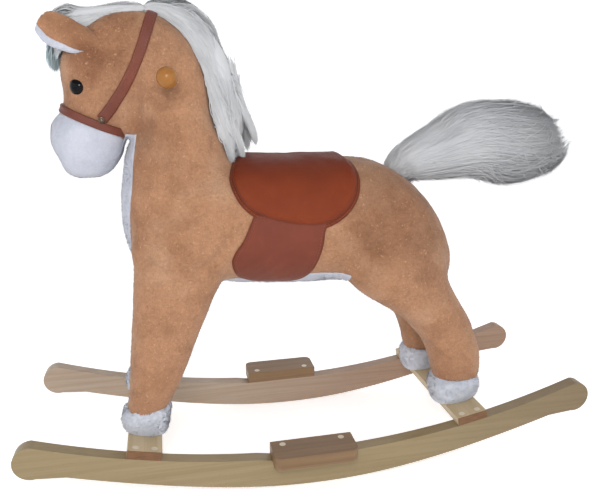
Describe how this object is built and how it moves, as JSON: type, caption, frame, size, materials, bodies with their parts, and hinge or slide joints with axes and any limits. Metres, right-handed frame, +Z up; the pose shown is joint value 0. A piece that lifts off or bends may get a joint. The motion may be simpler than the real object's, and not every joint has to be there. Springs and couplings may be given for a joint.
{
  "type": "rocking horse",
  "caption": "Plush toy horse on a wooden rocker base, with a padded saddle, a bridle, a turning grab handle through the neck, footrests and a sprung fur tail.",
  "frame": {"origin": "on the floor, midway along and between the two rockers", "axes": "+X towards the tail, +Y towards the horse's right, +Z up; the nose points along -X"},
  "size_m": [0.7403, 0.278, 0.5883],
  "materials": {
    "birch_wood": "lacquered, pale yellow grain",
    "pink_beech_wood": "lacquered, pinkish brown grain",
    "stained_wood": "lacquered, brown stain",
    "plug_wood": "sanded end grain",
    "screw_steel": "zinc plated",
    "frame_plywood": "raw, sawn",
    "dowel_wood": "lacquered",
    "lacquered_knob_wood": "gloss lacquer",
    "polyester_filling": "loose fibre",
    "tan_plush": "short soft pile",
    "white_plush": "short soft pile",
    "long_white_fur": "long soft pile",
    "eye_plastic": "gloss black",
    "washer_plastic": "moulded",
    "bridle_leatherette": "smooth, slight sheen",
    "rivet_metal": "domed, worn",
    "saddle_leatherette": "fine grain, slight sheen",
    "piping_leatherette": "fine grain, slight sheen"
  },
  "bodies": {
    "horse": {"rocker_left": "birch_wood", "rocker_right": "pink_beech_wood", "crossbar_front": "birch_wood", "crossbar_rear": "birch_wood", "footrest_left": "stained_wood", "footrest_right": "stained_wood", "footrest_screws": "screw_steel", "footrest_plugs": "plug_wood", "crossbar_screws": "screw_steel", "crossbar_plugs": "plug_wood", "leg_post_front_left": "frame_plywood", "leg_post_front_right": "frame_plywood", "leg_post_rear_left": "frame_plywood", "leg_post_rear_right": "frame_plywood", "leg_screws": "screw_steel", "spine_board": "frame_plywood", "spine_screws": "screw_steel", "neck_board": "frame_plywood", "neck_screws": "screw_steel", "torso_cover": "tan_plush", "torso_filling": "polyester_filling", "chest_panel": "white_plush", "belly_panel": "white_plush", "neck_cover": "tan_plush", "neck_filling": "polyester_filling", "head_cover": "tan_plush", "head_filling": "polyester_filling", "muzzle_cover": "white_plush", "leg_cover_front_left": "tan_plush", "leg_cover_front_right": "tan_plush", "leg_cover_rear_left": "tan_plush", "leg_cover_rear_right": "tan_plush", "leg_filling_front_left": "polyester_filling", "leg_filling_front_right": "polyester_filling", "leg_filling_rear_left": "polyester_filling", "leg_filling_rear_right": "polyester_filling", "hoof_front_left": "white_plush", "hoof_front_right": "white_plush", "hoof_rear_left": "white_plush", "hoof_rear_right": "white_plush", "ear_left": "tan_plush", "ear_right": "tan_plush", "ear_lining_left": "white_plush", "ear_lining_right": "white_plush", "eyes": "eye_plastic", "eye_washers": "washer_plastic", "forelock": "long_white_fur", "mane": "long_white_fur", "noseband": "bridle_leatherette", "headstall": "bridle_leatherette", "bridle_rivets": "rivet_metal", "saddle_seat": "saddle_leatherette", "saddle_piping": "piping_leatherette", "saddle_flap_left": "saddle_leatherette", "saddle_flap_right": "saddle_leatherette"},
    "handle": {"handle_dowel": "dowel_wood", "handle_knob_left": "lacquered_knob_wood", "handle_knob_right": "lacquered_knob_wood"},
    "tail_dock": {"tail_dock": "tan_plush"},
    "tail": {"tail_hair": "long_white_fur"}
  },
  "joints": [
    {"name": "handle_turn", "type": "hinge", "parent": "horse", "child": "handle", "pos_m": [-0.172, 0, 0.501], "axis": [0, 1, 0], "continuous": true},
    {"name": "tail_lift", "type": "hinge", "parent": "horse", "child": "tail_dock", "pos_m": [0.128, 0, 0.388], "axis": [0, -1, 0], "range_deg": [-10, 30]},
    {"name": "tail_swing", "type": "hinge", "parent": "tail_dock", "child": "tail", "pos_m": [0.128, 0, 0.388], "axis": [0, 0, 1], "range_deg": [-25, 25], "stiffness_Nm_per_rad": 0.6}
  ]
}
